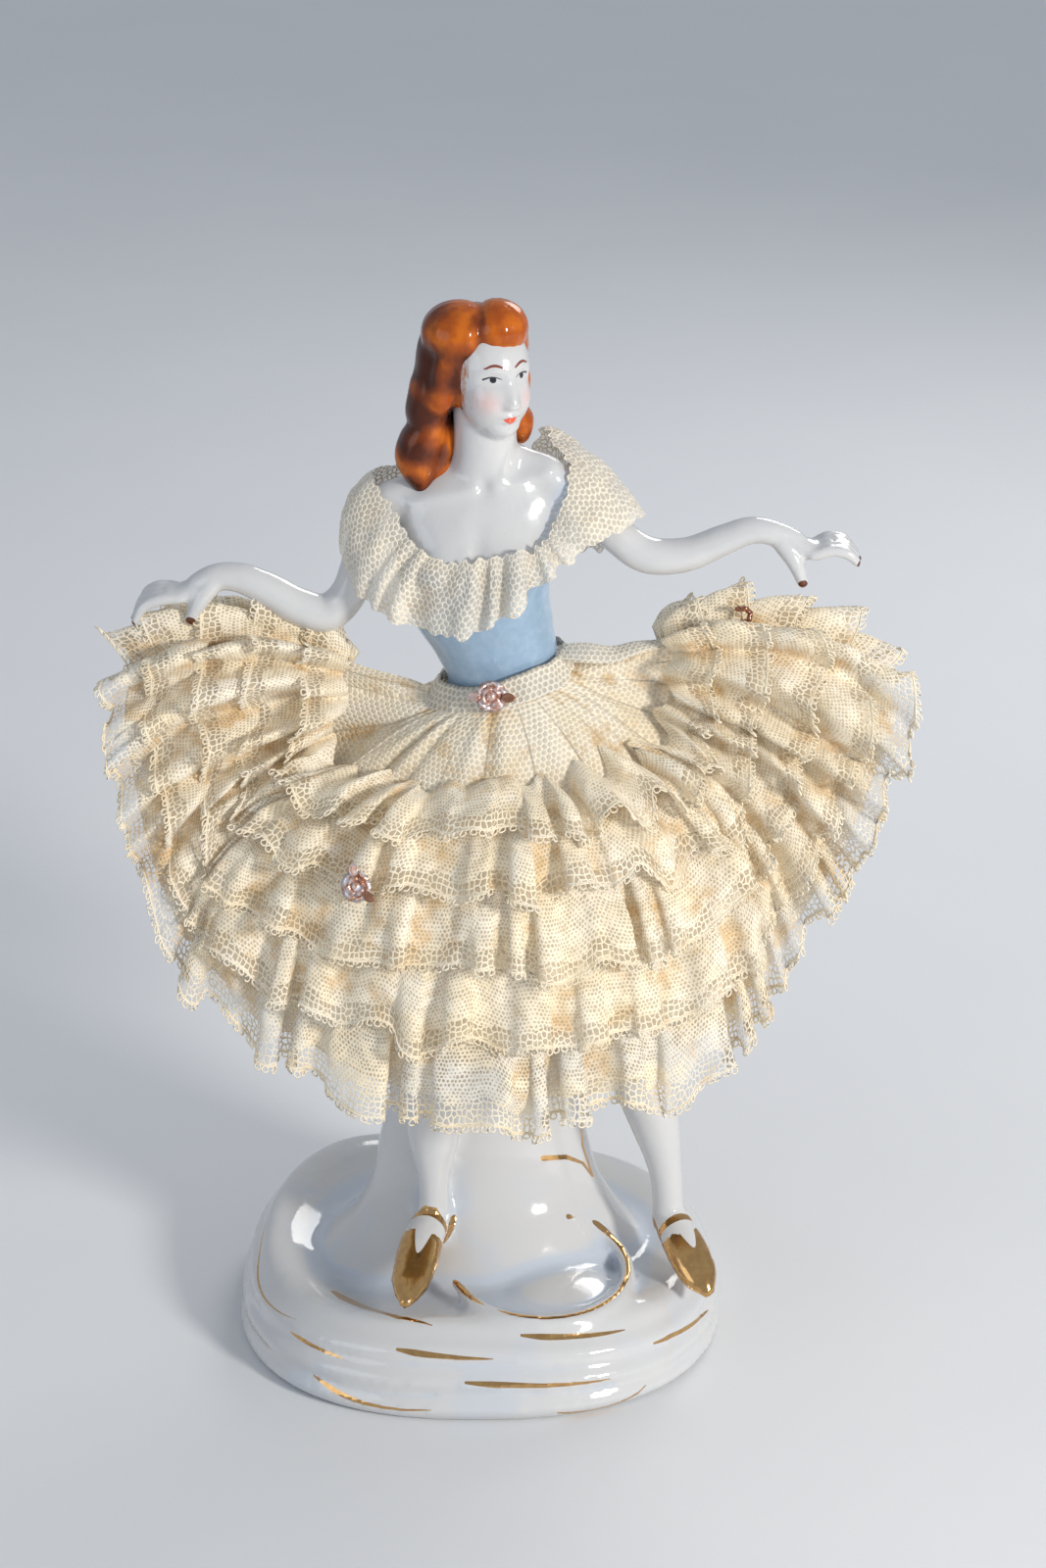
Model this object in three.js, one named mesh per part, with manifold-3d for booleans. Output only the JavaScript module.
// A porcelain dancer in a tiered lace skirt, standing on a flowing porcelain base.
// Millimetres, +Z up. The origin is the centre of the base's underside, and -Y is the front.
import * as THREE from "three";
import { mergeVertices } from "three/addons/utils/BufferGeometryUtils.js";
import Module from "manifold-3d";

const wasm = await Module();
wasm.setup();

// Driving sizes of the figure and its base
const FIGURE_HEIGHT = 184;
const BASE_WIDTH = 91.6;
const BASE_DEPTH = 87.6;
const BASE_HEIGHT = 18;
const BASE_RIDGE = 1.3;
const BASE_SLOPE = 8;

// Driving sizes of the skirt and the lace
const SKIRT_SPAN = 145;
const SKIRT_DEPTH = 71;
const SKIRT_SHIFT = 6;
const HEM_HEIGHT = 56;
const WING_RISE = 88;
const WING_ARCH = 11;
const WAIST_TILT = 0.26;
const NET_THICKNESS = 0.7;
const LACE_THICKNESS = 0.7;
const FLARE = 3.6;
const PLEAT_PITCH = 15.5;
const PLEAT_DEPTH = 1.3;
const BAND_HEIGHT = 3.6;
const GAP = 0.4;
const NET_CLEARANCE = 1.6;
const ROSE_WIDTH = 8.4;
const ROSE_HEIGHT = 9.2;
const SKIRT_ROSE_WIDTH = 7.4;
const SKIRT_ROSE_HEIGHT = 9.8;
const REMNANT_WIDTH = 3.8;
const COLLAR_WAVE = 0.9;

// Where each flounce ends, from the waist at 0 to the hem at 1, and how far it runs under the next
const FLOUNCE_EDGES_FRONT = [1.0, 0.8, 0.62, 0.45, 0.31];
const FLOUNCE_EDGES_WING = [1.0, 0.87, 0.71, 0.55, 0.39];
const FLOUNCE_OVERLAP = 0.03;
const TOP_FLOUNCE_WIDTH = 0.13;
const UNDERSKIRT_END = 0.95;

// How the layers close up where they pass over the crest of a wing
const CREST_CLOSENESS = 0.35;
const CREST_CROWDING = 1.6;
const NET_DEPTH = FLARE + LACE_THICKNESS + NET_CLEARANCE;

// Fineness of the mesh
const BASE_SIDES = 36;
const COLUMN_SIDES = 16;
const TORSO_SIDES = 14;
const LIMB_SIDES = 7;
const LEG_SIDES = 8;
const UNDERSKIRT_SEGMENTS = 44;
const BAND_SEGMENTS = 28;
const COLLAR_SEGMENTS = 34;
const SPREAD_STEPS = 720;

const TAU = Math.PI * 2;
const SIDEWAYS = new THREE.Vector3(1, 0, 0);
const DEPTHWAYS = new THREE.Vector3(0, 1, 0);
const UPWARDS = new THREE.Vector3(0, 0, 1);

const porcelain = new THREE.MeshStandardMaterial({ color: 0xf4f4f2, roughness: 0.12, metalness: 0 });
const net = new THREE.MeshStandardMaterial({ color: 0xe6dcc4, roughness: 0.9, metalness: 0 });
const lace = new THREE.MeshStandardMaterial({ color: 0xead9b0, roughness: 0.9, metalness: 0 });
const lustre = new THREE.MeshStandardMaterial({ color: 0xc79a92, roughness: 0.2, metalness: 0.4 });
const copper = new THREE.MeshStandardMaterial({ color: 0x6e3520, roughness: 0.3, metalness: 0.5 });

// A point of the figure, in per cent of its height above the base's top
function at(x, y, z) {
  const unit = FIGURE_HEIGHT / 100;
  return new THREE.Vector3(x * unit, y * unit, BASE_HEIGHT + z * unit);
}

function share(length) {
  return (length * FIGURE_HEIGHT) / 100;
}

function lerp(a, b, t) {
  return a + (b - a) * t;
}

function smoothstep(low, high, x) {
  const t = Math.min(1, Math.max(0, (x - low) / (high - low)));
  return t * t * (3 - 2 * t);
}

// Closed geometry from rows of rings: each ring is a list of points, and both ends are fans
function skinRings(rings) {
  const sides = rings[0].length;
  const positions = [];
  const index = [];
  for (const ring of rings) {
    for (const p of ring) positions.push(p.x, p.y, p.z);
  }
  for (let r = 0; r < rings.length - 1; r += 1) {
    for (let i = 0; i < sides; i += 1) {
      const a = r * sides + i;
      const b = r * sides + ((i + 1) % sides);
      index.push(a, b, a + sides, b, b + sides, a + sides);
    }
  }
  for (const [row, flip] of [[0, true], [rings.length - 1, false]]) {
    const middle = new THREE.Vector3();
    for (const p of rings[row]) middle.addScaledVector(p, 1 / sides);
    const centre = positions.length / 3;
    positions.push(middle.x, middle.y, middle.z);
    for (let i = 0; i < sides; i += 1) {
      const a = row * sides + i;
      const b = row * sides + ((i + 1) % sides);
      if (flip) index.push(centre, b, a);
      else index.push(centre, a, b);
    }
  }
  const geometry = new THREE.BufferGeometry();
  geometry.setAttribute("position", new THREE.Float32BufferAttribute(positions, 3));
  geometry.setIndex(index);
  return geometry;
}

// A limb: stations are [x, y, z, half width, half depth] in per cent of the figure's height
function limbGeometry(stations, sides, across = SIDEWAYS) {
  const centres = stations.map(([x, y, z]) => at(x, y, z));
  const rings = centres.map((centre, i) => {
    const before = centres[Math.max(0, i - 1)];
    const after = centres[Math.min(centres.length - 1, i + 1)];
    const along = after.clone().sub(before).normalize();
    const side = across.clone().addScaledVector(along, -across.dot(along)).normalize();
    const front = along.clone().cross(side);
    const halfWidth = share(stations[i][3]);
    const halfDepth = share(stations[i][4] ?? stations[i][3]);
    const ring = [];
    for (let k = 0; k < sides; k += 1) {
      const angle = (TAU * k) / sides;
      ring.push(centre.clone()
        .addScaledVector(side, halfWidth * Math.cos(angle))
        .addScaledVector(front, halfDepth * Math.sin(angle)));
    }
    return ring;
  });
  return skinRings(rings);
}

// A rounded mass: centre and radii in per cent of the figure's height, turned about Z
function blobGeometry(centre, radii, sides = 10, turn = 0) {
  const geometry = new THREE.SphereGeometry(1, sides, Math.max(4, Math.round(sides * 0.6)));
  geometry.rotateX(Math.PI / 2);
  geometry.scale(share(radii[0]), share(radii[1]), share(radii[2]));
  geometry.rotateZ(turn);
  const place = at(...centre);
  geometry.translate(place.x, place.y, place.z);
  return geometry;
}

function toSolid(geometry) {
  const bare = new THREE.BufferGeometry();
  bare.setAttribute("position", geometry.getAttribute("position").clone());
  if (geometry.index) bare.setIndex(geometry.index.clone());
  const merged = mergeVertices(bare, 1e-4);
  const vertProperties = new Float32Array(merged.getAttribute("position").array);
  const triVerts = new Uint32Array(merged.index.array);
  return new wasm.Manifold(new wasm.Mesh({ numProp: 3, vertProperties, triVerts }));
}

function toGeometry(solid) {
  const mesh = solid.getMesh();
  const geometry = new THREE.BufferGeometry();
  geometry.setAttribute("position", new THREE.Float32BufferAttribute(mesh.vertProperties, 3));
  geometry.setIndex(Array.from(mesh.triVerts));
  return geometry;
}

function joined(geometries) {
  return geometries.map(toSolid).reduce((whole, piece) => whole.add(piece));
}

function named(name, geometry, material) {
  const flat = geometry.index ? geometry.toNonIndexed() : geometry;
  flat.computeVertexNormals();
  const mesh = new THREE.Mesh(flat, material);
  mesh.name = name;
  return mesh;
}

// Head, hair and body. Every list is in per cent of the figure's height.
const TORSO = [
  [2.0, 1.0, 44.6, 7.4, 6.0],
  [2.3, 0.8, 51.0, 8.0, 6.2],
  [2.6, 0.2, 57.6, 6.6, 5.2],
  [2.7, 0.0, 62.0, 5.6, 4.5],
  [1.6, -0.2, 66.1, 6.1, 4.8],
  [0.0, -0.9, 71.7, 7.4, 5.9],
  [-0.1, -0.5, 75.4, 7.9, 5.2],
  [0.1, 0.1, 78.4, 8.4, 4.2],
  [0.2, 0.4, 80.6, 8.1, 3.4],
  [0.1, 0.6, 82.2, 6.4, 2.7],
  [0.0, 0.7, 83.4, 3.8, 1.9],
];
const NECK = [[0.9, 0.4, 79.6, 4.0, 2.9], [0.9, 0.2, 83.0, 3.5, 2.8], [0.9, 0.0, 85.4, 3.1, 2.7], [0.9, -0.1, 89.4, 3.1, 2.9]];
const RIGHT_SHOULDER = [[2.2, 0.6, 84.6, 1.4], [5.0, 0.5, 83.2, 1.6], [7.0, 0.3, 82.2, 1.9], [7.3, 0.2, 80.4, 2.0]];
const LEFT_SHOULDER = [[-0.6, 0.7, 83.8, 1.4], [-3.6, 0.6, 81.8, 1.6], [-6.4, 0.4, 80.4, 1.9]];
const LEFT_ARM = [
  [-6.8, 0.3, 80.0, 2.1], [-9.2, 0.2, 79.0, 2.1], [-10.6, 0.0, 75.8, 1.95], [-11.5, 0.0, 72.6, 1.85],
  [-12.6, -0.1, 69.9, 1.85], [-14.6, -0.3, 68.2, 1.9], [-17.3, -0.5, 69.0, 1.85], [-20.6, -0.6, 71.0, 1.65],
  [-23.4, -0.6, 72.1, 1.4], [-26.0, -0.6, 72.2, 1.2], [-27.0, -0.6, 71.9, 1.0],
];
const RIGHT_ARM = [
  [7.0, 0.3, 80.8, 2.1], [9.2, 0.2, 80.3, 2.1], [11.2, 0.0, 78.6, 1.95], [13.6, -0.4, 76.3, 1.8],
  [16.4, -0.6, 74.4, 1.85], [20.3, -0.6, 74.4, 1.7], [24.1, -0.6, 76.0, 1.5], [26.7, -0.6, 76.9, 1.3],
  [29.5, -0.6, 76.2, 1.1], [30.6, -0.6, 75.9, 0.9],
];
const FACE_TURN = Math.PI / 6;
const HEAD_CENTRE = [1.1, -0.4, 92.9];

function headPieces() {
  const [x, y, z] = HEAD_CENTRE;
  const ahead = (distance, rise) => [
    x + distance * Math.sin(FACE_TURN), y - distance * Math.cos(FACE_TURN), z + rise];
  return [
    blobGeometry([x, y, z + 0.9], [3.9, 4.6, 5.0], 10, FACE_TURN),
    blobGeometry(ahead(1.3, -1.9), [3.15, 3.5, 4.0], 10, FACE_TURN),
    blobGeometry(ahead(4.6, -0.7), [0.5, 0.9, 0.8], 5, FACE_TURN),
  ];
}

// The waves of hair down one side, thick and thin by turns, in per cent of the figure's height
const HAIR_WAVES = [
  [-2.6, -0.3, 97.2, 1.7], [-3.4, -0.3, 95.2, 2.1], [-3.9, -0.3, 93.0, 2.0], [-4.2, -0.3, 91.0, 2.1],
  [-4.5, -0.3, 89.0, 2.3], [-4.5, -0.3, 87.2, 1.8], [-5.2, -0.4, 85.4, 2.4], [-5.5, -0.5, 84.0, 2.2],
  [-5.3, -0.9, 82.3, 1.5], [-4.8, -1.2, 80.9, 0.6],
];

const BACK_HAIR = [
  [0.0, 3.6, 95.2, 3.4, 2.4], [-0.4, 4.4, 92.0, 4.6, 2.6], [-0.7, 4.3, 88.0, 4.9, 2.4],
  [-0.9, 4.2, 84.4, 4.5, 2.0], [-0.8, 3.9, 82.2, 2.8, 1.2],
];
const NECK_LOCK = [[4.4, 2.2, 86.7], [1.2, 1.6, 2.0]];

function hairPieces() {
  return [
    blobGeometry([0.2, 1.1, 93.7], [4.7, 4.9, 5.4], 11),
    blobGeometry([-1.6, -0.8, 96.9], [3.6, 3.7, 3.0], 9),
    blobGeometry([2.0, -0.9, 97.4], [3.1, 3.3, 2.7], 9),
    blobGeometry([3.5, 1.7, 91.2], [1.7, 2.4, 4.4], 6),
    blobGeometry(NECK_LOCK[0], NECK_LOCK[1], 6),
    limbGeometry(HAIR_WAVES, LIMB_SIDES),
    limbGeometry(BACK_HAIR, LEG_SIDES),
  ];
}

// A hand: a flat palm, four fingers side by side and a thumb that points down
function handPieces(side, wrist, palm, knuckle, tip, thumb) {
  const pieces = [limbGeometry([
    [wrist[0], wrist[1], wrist[2], 1.1, 1.0],
    [lerp(wrist[0], palm[0], 0.5), wrist[1] + 0.1, lerp(wrist[2], palm[2], 0.5), 1.7, 1.0],
    [palm[0], palm[1], palm[2], 1.8, 0.85]], LEG_SIDES, DEPTHWAYS)];
  for (let finger = 0; finger < 4; finger += 1) {
    const y = palm[1] + (finger - 1.5) * 0.95;
    const reach = finger === 3 ? 0.75 : 1;
    pieces.push(limbGeometry([
      [palm[0] - side * 0.8, y, palm[2], 0.6],
      [knuckle[0], y, knuckle[2] + 0.1 * finger, 0.72],
      [lerp(knuckle[0], tip[0], reach), y, lerp(knuckle[2], tip[2], reach) + 0.12 * finger, 0.5]], 5));
  }
  pieces.push(limbGeometry(thumb, 6));
  return pieces;
}

function leftHand() {
  return handPieces(-1, [-25.4, -0.6, 72.2], [-29.4, -0.4, 70.7], [-31.4, -0.4, 69.9], [-33.3, -0.4, 67.7],
    [[-25.8, -1.0, 72.0, 0.95], [-27.2, -1.7, 69.7, 0.85], [-27.9, -1.9, 67.7, 0.55]]);
}

function rightHand() {
  return handPieces(1, [29.2, -0.6, 76.3], [33.0, -0.4, 74.8], [35.1, -0.4, 75.1], [36.8, -0.4, 73.9],
    [[29.6, -1.0, 76.0, 0.9], [31.0, -1.7, 73.6, 0.8], [31.7, -1.9, 71.5, 0.5]]);
}

function legPieces() {
  return [
    limbGeometry([[-1.0, 0.6, 47, 4.2], [-3.4, -3.0, 29, 3.0], [-4.2, -5.4, 19, 2.9],
      [-4.6, -6.4, 13.4, 2.65], [-4.6, -7.3, 8.4, 1.6], [-4.6, -7.2, 3.5, 1.7]], LEG_SIDES),
    limbGeometry([[5.8, 0.6, 47, 4.2], [12.4, -2.4, 29, 3.0], [16.2, -3.8, 19, 2.9],
      [17.8, -4.3, 14.5, 2.6], [19.2, -5.2, 8.0, 1.65], [19.5, -5.0, 2.5, 1.7]], LEG_SIDES),
  ];
}

function shoePieces() {
  return [
    limbGeometry([[-4.3, -5.6, 3.4, 0.9, 0.9], [-4.6, -7.0, 3.9, 1.7, 2.0], [-5.5, -9.6, 3.8, 2.1, 1.8],
      [-6.3, -13.0, 2.6, 2.25, 1.5], [-7.0, -16.4, 1.4, 1.75, 1.1], [-7.3, -18.4, 0.8, 0.7, 0.5]], LEG_SIDES),
    limbGeometry([[19.2, -3.6, 2.4, 0.9, 0.9], [19.7, -5.0, 2.7, 1.7, 2.0], [20.6, -7.4, 2.2, 2.1, 1.8],
      [21.7, -9.8, 1.0, 2.2, 1.5], [22.8, -12.0, -0.4, 1.7, 1.1], [23.4, -13.2, -1.1, 0.7, 0.5]], LEG_SIDES),
  ];
}

// The column of drapery behind the legs, which carries the body, and its swirls at the foot
function columnPieces() {
  return [
    limbGeometry([[0.6, 1.6, -3.2, 17.5, 13.5], [0.6, 1.8, -0.6, 14.8, 11.8], [0.5, 2.2, 3.0, 12.4, 9.8],
      [0.4, 2.6, 9.0, 10.8, 8.2], [0.8, 2.5, 20, 8.8, 6.8], [1.5, 2.0, 32, 7.4, 6.0],
      [2.0, 1.2, 47, 7.0, 5.6]], COLUMN_SIDES),
    limbGeometry([[8.9, -4.9, 2.6, 0.8], [11.3, -3.8, 1.3, 1.0], [13.4, -4.3, 0.2, 1.1],
      [14.9, -6.8, -0.4, 1.1], [15.3, -9.2, -0.6, 1.1], [14.6, -13.1, -0.8, 1.1],
      [11.1, -17.5, -0.9, 1.1], [5.2, -19.1, -0.7, 1.1], [0.2, -16.8, -0.4, 1.1],
      [-2.5, -12.8, 0.2, 0.8]], 6, UPWARDS),
  ];
}

// The base: a closed mass with stacked flowing ridges round its side and a hollowed top
const BASE_SQUARENESS = 2.4;
const SIDE_ROWS = [
  [0.0, 0.0], [0.1, 0.9], [0.24, -0.3], [0.36, 0.9], [0.5, -0.3],
  [0.63, 0.8], [0.76, -0.3], [0.9, 0.4], [0.99, -0.7],
];
const TOP_ROWS = [0.9, 0.68];

function baseReach(angle) {
  const x = Math.abs(Math.cos(angle)) / (BASE_WIDTH / 2);
  const y = Math.abs(Math.sin(angle)) / (BASE_DEPTH / 2);
  return (x ** BASE_SQUARENESS + y ** BASE_SQUARENESS) ** (-1 / BASE_SQUARENESS);
}

// The rim's height as a share of BASE_HEIGHT: high at the front and back left, lower at both sides
function rimShare(angle) {
  const crest = Math.exp(-(((angle - 2.35) / 0.55) ** 2));
  const front = Math.max(0, -Math.sin(angle)) ** 1.5;
  return 0.76 + 0.2 * front + 0.26 * crest;
}

function baseGeometry() {
  const rings = [];
  const ringAt = (height, reach) => {
    const ring = [];
    for (let i = 0; i < BASE_SIDES; i += 1) {
      const angle = (TAU * i) / BASE_SIDES;
      const distance = reach(angle);
      ring.push(new THREE.Vector3(distance * Math.cos(angle), distance * Math.sin(angle), height(angle)));
    }
    return ring;
  };
  for (const [rise, bulge] of SIDE_ROWS) {
    rings.push(ringAt(
      (angle) => BASE_HEIGHT * rise * rimShare(angle),
      (angle) => baseReach(angle) - BASE_SLOPE * rise ** 2.2 * (0.6 + 0.4 * Math.max(0, -Math.sin(angle)))
        + BASE_RIDGE * (rise === 0 ? 0 : bulge),
    ));
  }
  for (const inward of TOP_ROWS) {
    rings.push(ringAt(
      (angle) => {
        const hollow = Math.sin(Math.PI * Math.min(1, (1 - inward) / 0.5));
        const bowl = 0.1 * hollow * (1 + Math.cos(angle - 2.6));
        return BASE_HEIGHT * (rimShare(angle) * (0.35 + 0.65 * inward) + 0.35 * (1 - inward) - bowl);
      },
      (angle) => (baseReach(angle) - BASE_SLOPE) * inward,
    ));
  }
  return skinRings(rings);
}

function dancerGeometry() {
  const pieces = [
    baseGeometry(),
    ...columnPieces(),
    ...legPieces(),
    ...shoePieces(),
    limbGeometry(TORSO, TORSO_SIDES),
    limbGeometry(NECK, LEG_SIDES),
    limbGeometry(LEFT_SHOULDER, LIMB_SIDES, DEPTHWAYS),
    limbGeometry(RIGHT_SHOULDER, LIMB_SIDES, DEPTHWAYS),
    limbGeometry(LEFT_ARM, LIMB_SIDES, DEPTHWAYS),
    limbGeometry(RIGHT_ARM, LIMB_SIDES, DEPTHWAYS),
    ...leftHand(),
    ...rightHand(),
    ...headPieces(),
    ...hairPieces(),
  ];
  return toGeometry(joined(pieces));
}

// The skirt's free edge, from the front centre anticlockwise seen from above, at the outermost flounce.
// Each point is a share of half the span, a share of half the depth, and a share of the wings' rise.
const HEM_POINTS = [
  [0, -0.99, 0.005], [0.36, -0.8, 0], [0.55, -0.62, 0.09], [0.7, -0.46, 0.27], [0.855, -0.36, 0.465],
  [0.96, -0.31, 0.66], [1.0, -0.24, 0.79], [0.95, -0.12, 0.86], [0.92, 0.1, 0.87], [0.94, 0.27, 0.76],
  [0.84, 0.38, 0.5], [0.66, 0.58, 0.26], [0.37, 0.86, 0.045], [0, 1.0, 0], [-0.36, 0.88, 0.02],
  [-0.66, 0.67, 0.135], [-0.84, 0.47, 0.32], [-0.94, 0.36, 0.555], [-0.95, 0.31, 0.76], [-0.94, 0.2, 0.87],
  [-0.95, 0.02, 0.91], [-0.98, -0.17, 0.88], [-1.0, -0.27, 0.78], [-0.97, -0.31, 0.61], [-0.91, -0.34, 0.41],
  [-0.79, -0.45, 0.205], [-0.59, -0.64, 0.09], [-0.33, -0.86, 0.005],
];
const WAIST_SECTION = [2.62, 0.05, 60.9, 6.05, 4.78];

const hemCurve = new THREE.CatmullRomCurve3(HEM_POINTS.map(([x, y, rise]) => new THREE.Vector3(
  SKIRT_SHIFT + (x * SKIRT_SPAN) / 2, (y * SKIRT_DEPTH) / 2, HEM_HEIGHT + rise * WING_RISE)), true);
hemCurve.arcLengthDivisions = 600;

function wrap(u) {
  return u - Math.floor(u);
}

function hemRise(u) {
  return (hemCurve.getPointAt(wrap(u)).z - HEM_HEIGHT) / WING_RISE;
}

// How much a place round the skirt belongs to a raised wing, from 0 at the front to 1 at the hands
function wingShare(u) {
  return smoothstep(-0.05, 0.75, hemRise(u));
}

// How near a place round the skirt is to the crest of a wing, where the layers lie closest
function crestShare(u) {
  return smoothstep(0.66, 0.88, hemRise(u));
}

function waistPoint(u, outward) {
  const [x, y, z, halfWidth, halfDepth] = WAIST_SECTION;
  const centre = at(x, y, z);
  const angle = -Math.PI / 2 + TAU * u;
  const reachX = (share(halfWidth) + outward) * Math.cos(angle);
  const reachY = (share(halfDepth) + outward) * Math.sin(angle);
  return new THREE.Vector3(centre.x + reachX, centre.y + reachY, centre.z + WAIST_TILT * reachX);
}

// The skirt's outer form: u runs round it, and s runs from the waist at 0 to the hem at 1
function skirtPoint(u, s) {
  const waist = waistPoint(u, GAP + NET_THICKNESS);
  const hem = hemCurve.getPointAt(wrap(u));
  const wing = wingShare(u);
  const out = lerp(1 - (1 - s) ** 3.4, s ** 0.95, wing);
  const down = lerp(s ** 1.22, s, wing);
  const back = lerp(out, s ** 0.7, wing);
  const arch = WING_ARCH * smoothstep(0.35, 0.88, hemRise(u)) * Math.sin(Math.PI * s ** 1.15) ** 0.8;
  return new THREE.Vector3(
    lerp(waist.x, hem.x, out), lerp(waist.y, hem.y, back), lerp(waist.z, hem.z, down) + arch);
}

function skirtNormal(u, s) {
  const step = 0.004;
  const low = Math.max(0, s - step);
  const high = Math.min(1, s + step);
  const round = skirtPoint(u + step, s).sub(skirtPoint(u - step, s));
  const fall = skirtPoint(u, high).sub(skirtPoint(u, low));
  return fall.cross(round).normalize();
}

// A closed thin ring: place(u, t) gives a point of its outer face and the outward direction
function ringShell(segments, rows, thickness, place) {
  const outer = [];
  const inner = [];
  for (let r = 0; r <= rows; r += 1) {
    const outerRow = [];
    const innerRow = [];
    for (let i = 0; i < segments; i += 1) {
      const { point, normal } = place(i / segments, r / rows, i);
      outerRow.push(point);
      innerRow.push(point.clone().addScaledVector(normal, -thickness));
    }
    outer.push(outerRow);
    inner.push(innerRow);
  }
  const loops = [...outer, ...inner.reverse()];
  const positions = [];
  const index = [];
  for (const loop of loops) {
    for (const p of loop) positions.push(p.x, p.y, p.z);
  }
  for (let r = 0; r < loops.length; r += 1) {
    const next = (r + 1) % loops.length;
    for (let i = 0; i < segments; i += 1) {
      const a = r * segments + i;
      const b = r * segments + ((i + 1) % segments);
      const c = next * segments + i;
      const d = next * segments + ((i + 1) % segments);
      index.push(a, c, b, b, c, d);
    }
  }
  const geometry = new THREE.BufferGeometry();
  geometry.setAttribute("position", new THREE.Float32BufferAttribute(positions, 3));
  geometry.setIndex(index);
  return geometry;
}

// Even steps v round the skirt, drawn closer together where they pass over a crest
const spreadTable = [0];
for (let i = 0; i < SPREAD_STEPS; i += 1) {
  spreadTable.push(spreadTable[i] + 1 + CREST_CROWDING * crestShare((i + 0.5) / SPREAD_STEPS));
}

function spread(v) {
  const target = wrap(v) * spreadTable[SPREAD_STEPS];
  const after = spreadTable.findIndex((total) => total > target);
  const before = spreadTable[after - 1];
  return (after - 1 + (target - before) / (spreadTable[after] - before)) / SPREAD_STEPS;
}

// Distance of a layer from the skirt's outer form, eased in from the waist and at the crests
function layerDepth(depth, u, s) {
  return -depth * smoothstep(0, 0.26, s) * (1 - CREST_CLOSENESS * crestShare(u));
}

function underskirtGeometry() {
  return ringShell(UNDERSKIRT_SEGMENTS, 4, NET_THICKNESS, (v, t) => {
    const u = spread(v);
    const s = UNDERSKIRT_END * t ** 1.2;
    const normal = skirtNormal(u, Math.max(0.02, s));
    const point = skirtPoint(u, s).addScaledVector(normal, layerDepth(NET_DEPTH, u, s));
    if (s === 0) normal.set(normal.x, normal.y, 0).normalize();
    return { point, normal };
  });
}

function flounceEdge(tier, u) {
  return lerp(FLOUNCE_EDGES_FRONT[tier], FLOUNCE_EDGES_WING[tier], wingShare(u));
}

// One gathered flounce: sewn on at its upper edge, and pleated and flared out at its free edge
function flounceGeometry(tier) {
  const middle = flounceEdge(tier, 0.12);
  const pleats = Math.round((hemCurve.getLength() * lerp(0.15, 1, middle)) / PLEAT_PITCH);
  return ringShell(pleats * 2, 2, LACE_THICKNESS, (v, t, i) => {
    const u = spread(v);
    const free = flounceEdge(tier, u);
    const top = tier + 1 < FLOUNCE_EDGES_FRONT.length
      ? flounceEdge(tier + 1, u) - FLOUNCE_OVERLAP
      : free - TOP_FLOUNCE_WIDTH;
    const s = lerp(top, free, t);
    const normal = skirtNormal(u, Math.min(0.99, s));
    const fold = (i % 2 === 0 ? 1 : -1) * PLEAT_DEPTH * t * (1 - CREST_CLOSENESS * crestShare(u));
    const inset = layerDepth(FLARE * (1 - t ** 0.7), u, s);
    const point = skirtPoint(u, s).addScaledVector(normal, inset + fold);
    return { point, normal };
  });
}

function waistbandGeometry() {
  return ringShell(BAND_SEGMENTS, 1, NET_THICKNESS, (u, t) => {
    const point = waistPoint(u, GAP * 1.5 + NET_THICKNESS + 0.3 * (1 - t));
    point.z += GAP * 2 + lerp(BAND_HEIGHT, 0, t);
    const angle = -Math.PI / 2 + TAU * u;
    return { point, normal: new THREE.Vector3(Math.cos(angle), Math.sin(angle), 0) };
  });
}

// The off-shoulder collar, a net ring that drapes over the shoulders and the tops of the arms.
// Its sections run from the front anticlockwise seen from above, and each has a point of the
// neckline, one half way across the net and one of the lower edge.
const COLLAR_SECTIONS = [
  [[0.9, -6.6, 76.2], [0.8, -7.5, 72.8], [0.3, -7.8, 69.2]],
  [[3.7, -6.3, 76.7], [4.0, -7.2, 74.2], [4.0, -7.2, 71.6]],
  [[6.1, -5.0, 76.8], [7.0, -5.6, 75.6], [7.5, -5.4, 74.3]],
  [[7.6, -3.0, 78.5], [9.3, -4.0, 77.8], [11.0, -4.0, 76.6]],
  [[8.6, -2.2, 80.9], [11.4, -3.0, 79.6], [13.6, -3.0, 77.6]],
  [[8.9, -0.4, 83.4], [12.5, -0.6, 81.8], [16.2, -0.4, 78.4]],
  [[7.2, 1.9, 85.0], [11.4, 2.6, 83.2], [15.0, 2.6, 77.4]],
  [[6.6, 3.3, 86.0], [9.2, 4.3, 82.8], [12.2, 4.2, 73.0]],
  [[4.6, 4.4, 82.0], [5.6, 5.9, 79.4], [6.0, 6.4, 73.6]],
  [[0.0, 4.4, 80.4], [0.0, 6.2, 77.8], [0.0, 7.2, 74.0]],
  [[-4.4, 4.2, 80.8], [-5.4, 5.6, 78.4], [-5.4, 6.6, 74.0]],
  [[-7.6, 3.3, 81.2], [-9.2, 4.2, 78.9], [-10.2, 4.5, 74.6]],
  [[-9.5, 2.0, 81.2], [-11.6, 2.3, 79.4], [-12.6, 2.4, 75.6]],
  [[-8.9, 0.2, 80.6], [-12.0, -0.1, 78.8], [-12.9, -0.2, 75.2]],
  [[-7.3, -2.2, 79.2], [-11.0, -2.6, 76.2], [-12.2, -2.6, 72.6]],
  [[-5.6, -4.4, 76.2], [-8.0, -4.9, 73.4], [-9.3, -4.6, 70.1]],
  [[-2.9, -6.1, 75.7], [-3.9, -7.0, 72.4], [-4.4, -7.2, 68.8]],
];
const collarLines = [0, 1, 2].map((k) => new THREE.CatmullRomCurve3(
  COLLAR_SECTIONS.map((section) => at(...section[k])), true));

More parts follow.
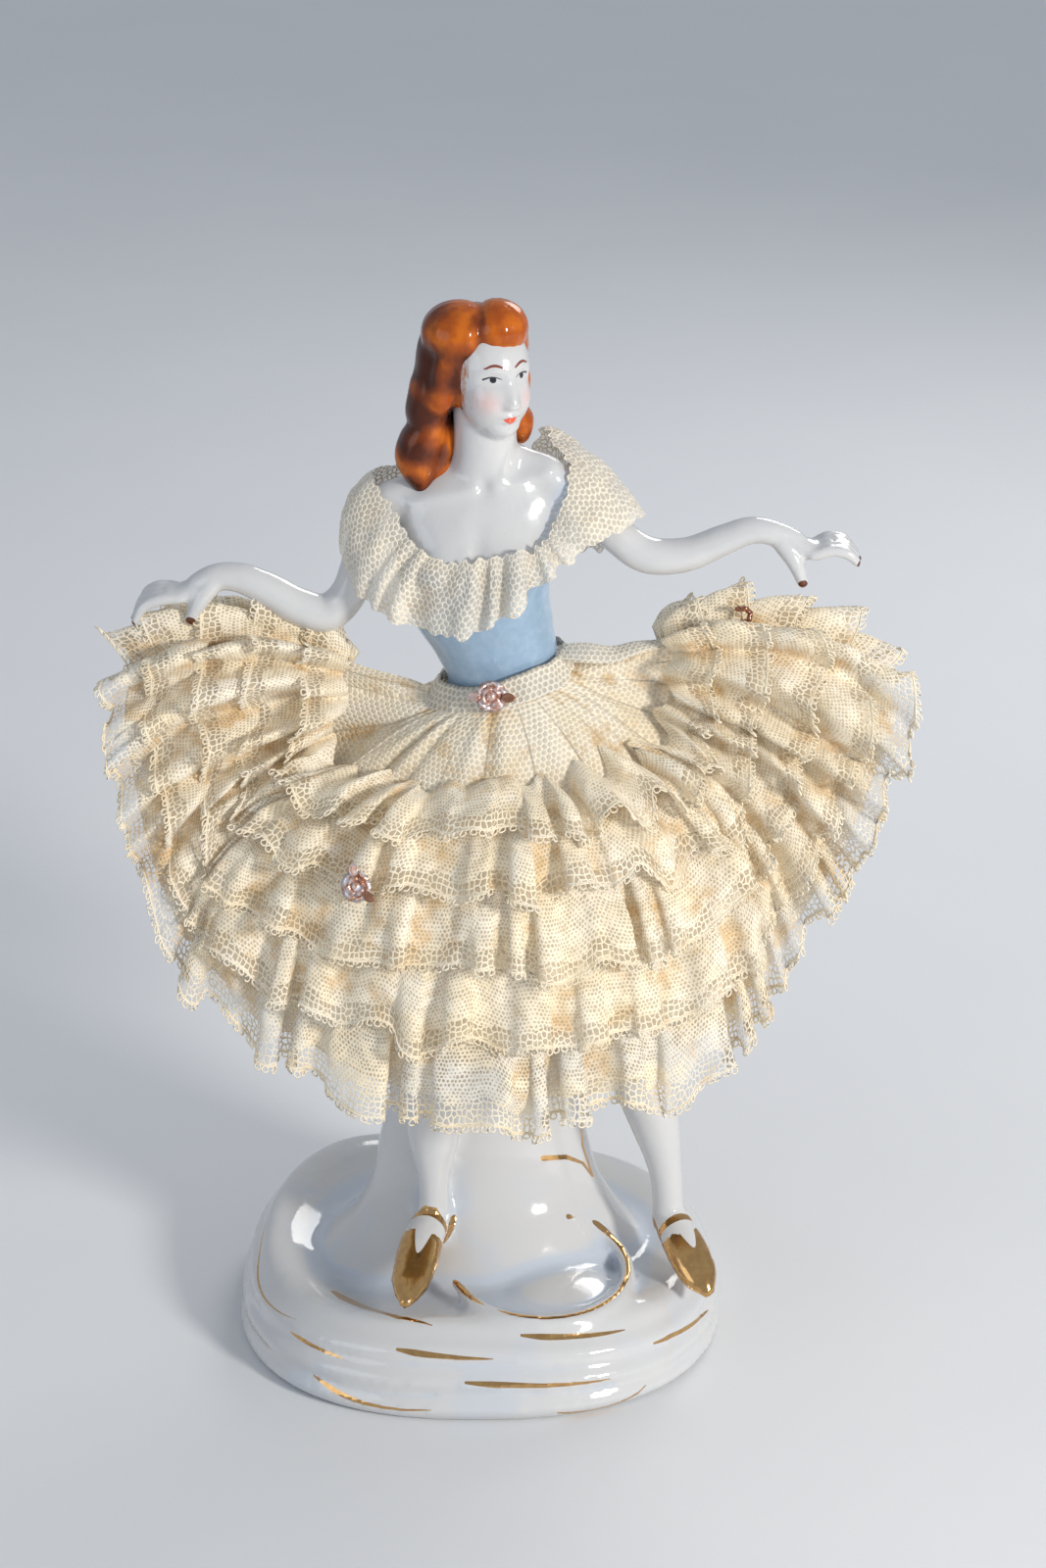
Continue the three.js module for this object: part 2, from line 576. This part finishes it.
function collarPoint(u, t) {
  const [neckline, crown, edge] = collarLines.map((line) => line.getPoint(wrap(u)));
  return neckline.multiplyScalar((1 - t) * (1 - 2 * t))
    .addScaledVector(crown, 4 * t * (1 - t)).addScaledVector(edge, t * (2 * t - 1));
}

function collarNormal(u, t) {
  const step = 0.004;
  const round = collarPoint(u + step, t).sub(collarPoint(u - step, t));
  const fall = collarPoint(u, t + step).sub(collarPoint(u, t - step));
  return fall.cross(round).normalize();
}

function grown(stations) {
  const extra = (GAP / FIGURE_HEIGHT) * 100;
  return stations.map(([x, y, z, a, b]) => [x, y, z, a + extra, (b ?? a) + extra]);
}

function collarGeometry() {
  const body = joined([
    limbGeometry(grown(TORSO), TORSO_SIDES),
    limbGeometry(grown(NECK), LEG_SIDES),
    limbGeometry(grown(LEFT_SHOULDER), LIMB_SIDES, DEPTHWAYS),
    limbGeometry(grown(RIGHT_SHOULDER), LIMB_SIDES, DEPTHWAYS),
    limbGeometry(grown(HAIR_WAVES), LIMB_SIDES),
    limbGeometry(grown(BACK_HAIR), LEG_SIDES),
    limbGeometry(grown(LEFT_ARM), LIMB_SIDES, DEPTHWAYS),
    limbGeometry(grown(RIGHT_ARM), LIMB_SIDES, DEPTHWAYS),
  ]);
  return toGeometry(toSolid(collarRing()).subtract(body));
}

function collarRing() {
  return ringShell(COLLAR_SEGMENTS, 4, NET_THICKNESS, (u, t, i) => {
    const normal = collarNormal(u, t);
    const wave = i % 2 === 0 ? COLLAR_WAVE * t : 0;
    return { point: collarPoint(u, t).addScaledVector(normal, wave), normal };
  });
}

// A small applied rose: a domed heart, a ring of petals, and a leaf at each of the given angles
function roseGeometry(width, height, leafAngles) {
  const petal = new THREE.SphereGeometry(width * 0.2, 5, 3);
  const pieces = [];
  const heart = petal.clone();
  heart.scale(0.85, 0.7, 0.85);
  heart.translate(0, -width * 0.12, 0);
  pieces.push(heart);
  for (let i = 0; i < 4; i += 1) {
    const angle = (TAU * (i + 0.5)) / 4;
    const leafy = petal.clone();
    leafy.scale(0.9, 0.55, 0.9);
    leafy.translate(Math.cos(angle) * width * 0.18, 0, Math.sin(angle) * height * 0.18);
    pieces.push(leafy);
  }
  for (const angle of leafAngles) {
    const leaf = petal.clone();
    leaf.scale(1.2, 0.3, 0.6);
    leaf.rotateY(-angle);
    leaf.translate(Math.cos(angle) * width * 0.34, width * 0.03, Math.sin(angle) * height * 0.34);
    pieces.push(leaf);
  }
  return toGeometry(joined(pieces));
}

function placedRose(name, geometry, material, point, yaw, pitch) {
  const mesh = named(name, geometry, material);
  mesh.position.copy(point);
  mesh.rotation.set(pitch, 0, yaw, "ZXY");
  return mesh;
}

// A broken loop left where a rose has gone
function remnantGeometry() {
  const rings = [];
  const steps = 9;
  for (let i = 0; i <= steps; i += 1) {
    const angle = lerp(-1.9, 2.3, i / steps);
    const centre = new THREE.Vector3(Math.cos(angle), 0, Math.sin(angle));
    centre.multiplyScalar(REMNANT_WIDTH * 0.36);
    const ring = [];
    for (let k = 0; k < 5; k += 1) {
      const turn = (TAU * k) / 5;
      ring.push(centre.clone().multiplyScalar(1 + 0.38 * Math.cos(turn))
        .addScaledVector(DEPTHWAYS, REMNANT_WIDTH * 0.14 * Math.sin(turn)));
    }
    rings.push(ring);
  }
  return skinRings(rings);
}

function onSkirt(u, s, outward) {
  return skirtPoint(u, s).addScaledVector(skirtNormal(u, s), outward);
}

const waistFront = waistPoint(0.975, GAP * 3 + NET_THICKNESS + ROSE_WIDTH * 0.11);
waistFront.z += BAND_HEIGHT * 0.75;
const group = new THREE.Group();
group.add(named("porcelain_dancer", dancerGeometry(), porcelain));
group.add(named("net_underskirt", underskirtGeometry(), net));
for (let tier = 0; tier < FLOUNCE_EDGES_FRONT.length; tier += 1) {
  group.add(named(`lace_flounce_${tier + 1}`, flounceGeometry(tier), lace));
}
group.add(named("net_waistband", waistbandGeometry(), net));
group.add(named("net_collar", collarGeometry(), net));
group.add(placedRose("waist_rose", roseGeometry(ROSE_WIDTH, ROSE_HEIGHT, [0, Math.PI]), lustre, waistFront, -0.1, 0));
group.add(placedRose("skirt_rose", roseGeometry(SKIRT_ROSE_WIDTH, SKIRT_ROSE_HEIGHT, [-0.5, 1.8]), lustre,
  onSkirt(0.941, 0.455, PLEAT_DEPTH + GAP + SKIRT_ROSE_WIDTH * 0.13), -0.4, -0.2));
group.add(placedRose("rose_remnant", remnantGeometry(), copper,
  onSkirt(0.237, 0.5, GAP * 3 + REMNANT_WIDTH * 0.16), 0.1, 0));

export default group;
